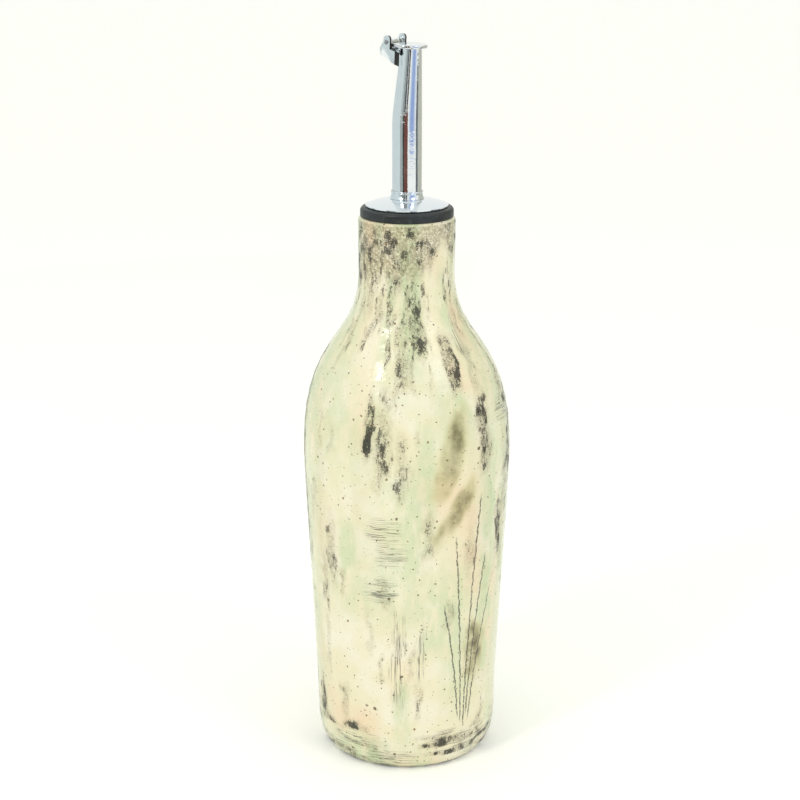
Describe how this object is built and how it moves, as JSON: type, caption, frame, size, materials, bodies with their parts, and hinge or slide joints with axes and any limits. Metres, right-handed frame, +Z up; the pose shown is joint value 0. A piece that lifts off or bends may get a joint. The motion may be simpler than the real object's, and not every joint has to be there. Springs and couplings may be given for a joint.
{
  "type": "oil bottle with pourer",
  "caption": "Hand-thrown glazed stoneware oil bottle with round shoulders and a straight neck, closed by a rubber bung that carries a chrome spout with a gravity flap.",
  "frame": {"origin": "centre of the base, on the floor the bottle stands on", "axes": "+Z up along the bottle's axis, +X to the pouring side, hinge of the flap along Y"},
  "size_m": [0.0858, 0.0858, 0.2987],
  "materials": {
    "stoneware_glaze": "satin",
    "black_rubber": "satin",
    "chrome_disc": "polished",
    "chrome_spout": "polished",
    "chrome_flap": "polished",
    "vent_plastic": "satin"
  },
  "bodies": {
    "bottle": {"bottle_body": "stoneware_glaze"},
    "stopper": {"stopper_bung": "black_rubber"},
    "spout": {"cover_disc": "chrome_disc", "spout_collar": "chrome_disc", "spout_tube": "chrome_spout", "vent_tube": "vent_plastic", "hinge_bracket": "chrome_flap"},
    "flap": {"flap_lid": "chrome_flap", "counterweight_yoke": "chrome_flap", "hinge_pin": "chrome_flap"}
  },
  "joints": [
    {"name": "pourer_lift", "type": "slide", "parent": "bottle", "child": "stopper", "axis": [0, 0, 1], "range_m": [0, 0.06]},
    {"name": "pourer_turn", "type": "hinge", "parent": "stopper", "child": "spout", "pos_m": [0, 0, 0.228], "axis": [0, 0, 1], "continuous": true},
    {"name": "flap_hinge", "type": "hinge", "parent": "spout", "child": "flap", "pos_m": [-0.00555, 0, 0.29607], "axis": [0, -1, 0], "range_deg": [0, 48]}
  ]
}
